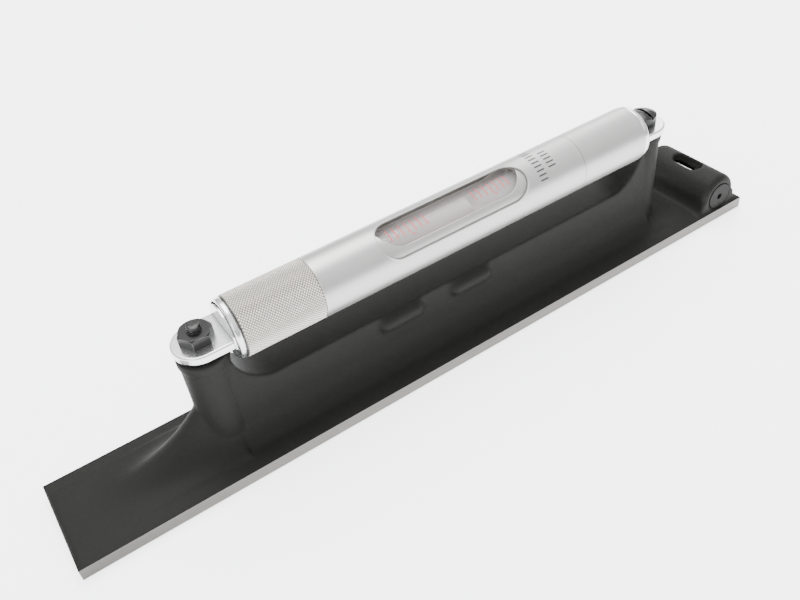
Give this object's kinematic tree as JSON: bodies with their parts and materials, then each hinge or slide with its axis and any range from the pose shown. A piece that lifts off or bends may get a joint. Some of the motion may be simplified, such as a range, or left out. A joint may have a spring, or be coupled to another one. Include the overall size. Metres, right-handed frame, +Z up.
{
  "type": "precision machinist level",
  "caption": "Machinist's precision level: cast base with ground sole and vee groove, tube with a main vial under a turning cover, a cross vial, and a nut that levels the tube.",
  "frame": {"origin": "centre of the ground sole", "axes": "+X along the base towards the cross vial, +Z up, -Y the side towards the adjusting nut's viewer"},
  "size_m": [0.2032, 0.027, 0.041],
  "materials": {
    "casting": "black satin coating on cast iron, ground bare edges",
    "satin_tube": "satin silver, knurled at the near end",
    "bright_plug": "bright nickel",
    "black_hardware": "black oxide",
    "spring_steel": "plain spring wire",
    "vial_glass": "clear ground glass with fired red lines",
    "spirit": "clear pale liquid",
    "plaster": "matt white setting plaster"
  },
  "bodies": {
    "frame": {"base_casting": "casting", "adjusting_stud": "black_hardware", "adjusting_spring": "spring_steel", "pivot_screw": "black_hardware", "cross_vial_glass": "vial_glass", "cross_vial_spirit": "spirit", "cross_vial_bedding": "plaster", "near_cross_plug": "black_hardware", "far_cross_plug": "black_hardware"},
    "tube": {"vial_tube": "satin_tube", "near_end_plug": "bright_plug", "far_end_plug": "bright_plug", "near_sleeve_washer": "spring_steel", "far_sleeve_washer": "spring_steel", "main_vial_glass": "vial_glass", "main_vial_spirit": "spirit", "near_vial_bedding": "plaster", "far_vial_bedding": "plaster"},
    "cover": {"cover_sleeve": "satin_tube"},
    "nut": {"adjusting_nut": "black_hardware"}
  },
  "joints": [
    {"name": "tube_tilt", "type": "hinge", "parent": "frame", "child": "tube", "pos_m": [0.0708, 0, 0.0335], "axis": [0, 1, 0], "range_deg": [-0.25, 0.25], "deforming": ["adjusting_spring"]},
    {"name": "cover_turn", "type": "hinge", "parent": "tube", "child": "cover", "pos_m": [0.0063, 0, 0.0335], "axis": [1, 0, 0], "continuous": true},
    {"name": "nut_turn", "type": "hinge", "parent": "tube", "child": "nut", "pos_m": [-0.0601, 0, 0.036], "axis": [0, 0, 1], "range_deg": [-343.7, 343.7]}
  ],
  "couplings": [
    {"joint": "nut_turn", "follows": "tube_tilt", "ratio": 1370.8}
  ]
}
